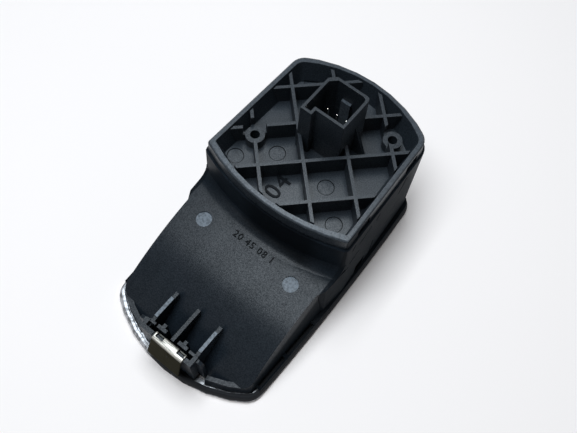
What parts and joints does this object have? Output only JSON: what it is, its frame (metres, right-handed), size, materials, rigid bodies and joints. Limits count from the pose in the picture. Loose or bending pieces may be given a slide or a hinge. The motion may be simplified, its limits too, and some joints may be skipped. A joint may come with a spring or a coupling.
{
  "type": "power window switch",
  "caption": "Power window switch with a finger scoop, rocker, ribbed base cover, connector shroud and chrome front frame.",
  "frame": {"origin": "centre of the chrome frame's front plane, which is the bottom of the bounding box", "axes": "+Z away from the front face towards the connector, +Y towards the connector end along the length, +X across"},
  "size_m": [0.0566, 0.101, 0.0515],
  "materials": {
    "chrome": "bright plated",
    "black_nylon": "moulded, satin",
    "black_cover_plastic": "moulded, satin",
    "spring_steel": "rolled",
    "tinned_brass": "tin plated",
    "green_laminate": "solder mask",
    "silicone": "matt",
    "component_black": "moulded",
    "component_white": "smooth",
    "component_metal": "drawn can",
    "natural_nylon": "moulded",
    "grey_acetal": "moulded",
    "clear_acrylic": "clear",
    "satin_black": "fine texture",
    "milky_lens": "smooth",
    "gloss_black": "polished"
  },
  "bodies": {
    "switch_body": {"chrome_frame": "chrome", "carrier_housing": "black_nylon", "spring_clip": "spring_steel", "base_cover": "black_cover_plastic", "terminal_pin_1": "tinned_brass", "terminal_pin_2": "tinned_brass", "terminal_pin_3": "tinned_brass", "terminal_pin_4": "tinned_brass", "terminal_pin_5": "tinned_brass", "terminal_pin_6": "tinned_brass", "circuit_board": "green_laminate", "dome_mat": "silicone", "lighting_led": "component_white", "driver_chip": "component_black", "resistor_a": "component_black", "resistor_b": "component_black", "diode": "component_black", "filter_capacitor": "component_metal", "guide_frame": "natural_nylon", "light_guide": "clear_acrylic", "front_panel": "gloss_black"},
    "rocker": {"window_rocker": "satin_black", "rocker_lens": "milky_lens"},
    "down_plunger": {"plunger_down": "grey_acetal"},
    "up_plunger": {"plunger_up": "grey_acetal"}
  },
  "joints": [
    {"name": "rocker_pivot", "type": "hinge", "parent": "switch_body", "child": "rocker", "pos_m": [0, 0.008, 0.0096], "axis": [1, 0, 0], "range_deg": [-5, 5], "stiffness_Nm_per_rad": 0.8},
    {"name": "down_plunger_slide", "type": "slide", "parent": "switch_body", "child": "down_plunger", "axis": [0, 0, 1], "range_m": [-0.0006, 0.0006], "deforming": ["dome_mat"]},
    {"name": "up_plunger_slide", "type": "slide", "parent": "switch_body", "child": "up_plunger", "axis": [0, 0, 1], "range_m": [-0.0006, 0.0006], "deforming": ["dome_mat"]}
  ],
  "couplings": [
    {"joint": "down_plunger_slide", "follows": "rocker_pivot", "m_per_rad": -0.006},
    {"joint": "up_plunger_slide", "follows": "rocker_pivot", "m_per_rad": 0.006}
  ]
}
